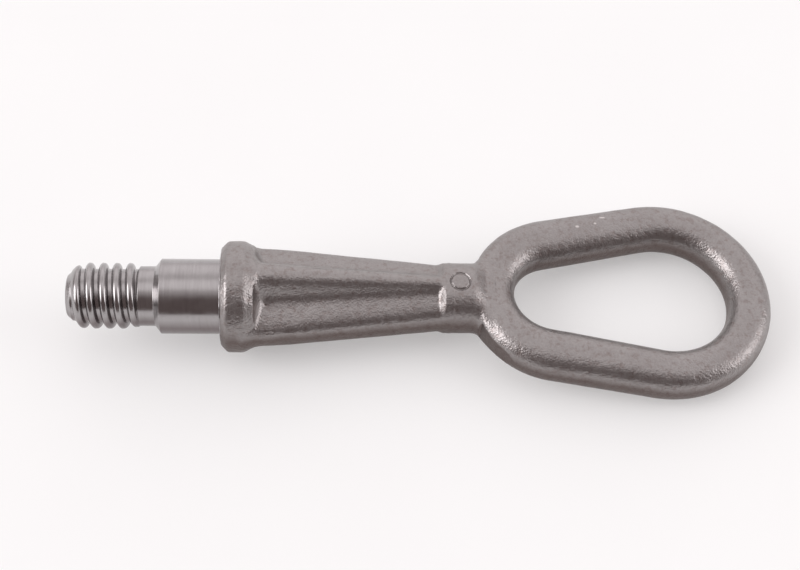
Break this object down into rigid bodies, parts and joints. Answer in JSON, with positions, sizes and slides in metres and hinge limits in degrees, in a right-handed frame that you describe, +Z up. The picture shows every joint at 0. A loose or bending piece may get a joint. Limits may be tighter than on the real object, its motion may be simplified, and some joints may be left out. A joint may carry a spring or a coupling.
{
  "type": "screw-in tow eye",
  "caption": "Screw-in vehicle tow eye: coarse threaded stud, turned shoulder and collar, tapered ribbed shank, boss and a pear-shaped closed ring, forged in one piece, lying on its side.",
  "frame": {"origin": "centre of the bounding box at the floor", "axes": "+X from the thread tip to the far end of the eye, +Y across the flat of the eye, +Z up from the floor it lies on"},
  "size_m": [0.1961, 0.0616, 0.0311],
  "materials": {
    "forged_steel": "blasted grey, bright where turned and rolled"
  },
  "bodies": {
    "root": {"tow_eye": "forged_steel"}
  },
  "joints": []
}
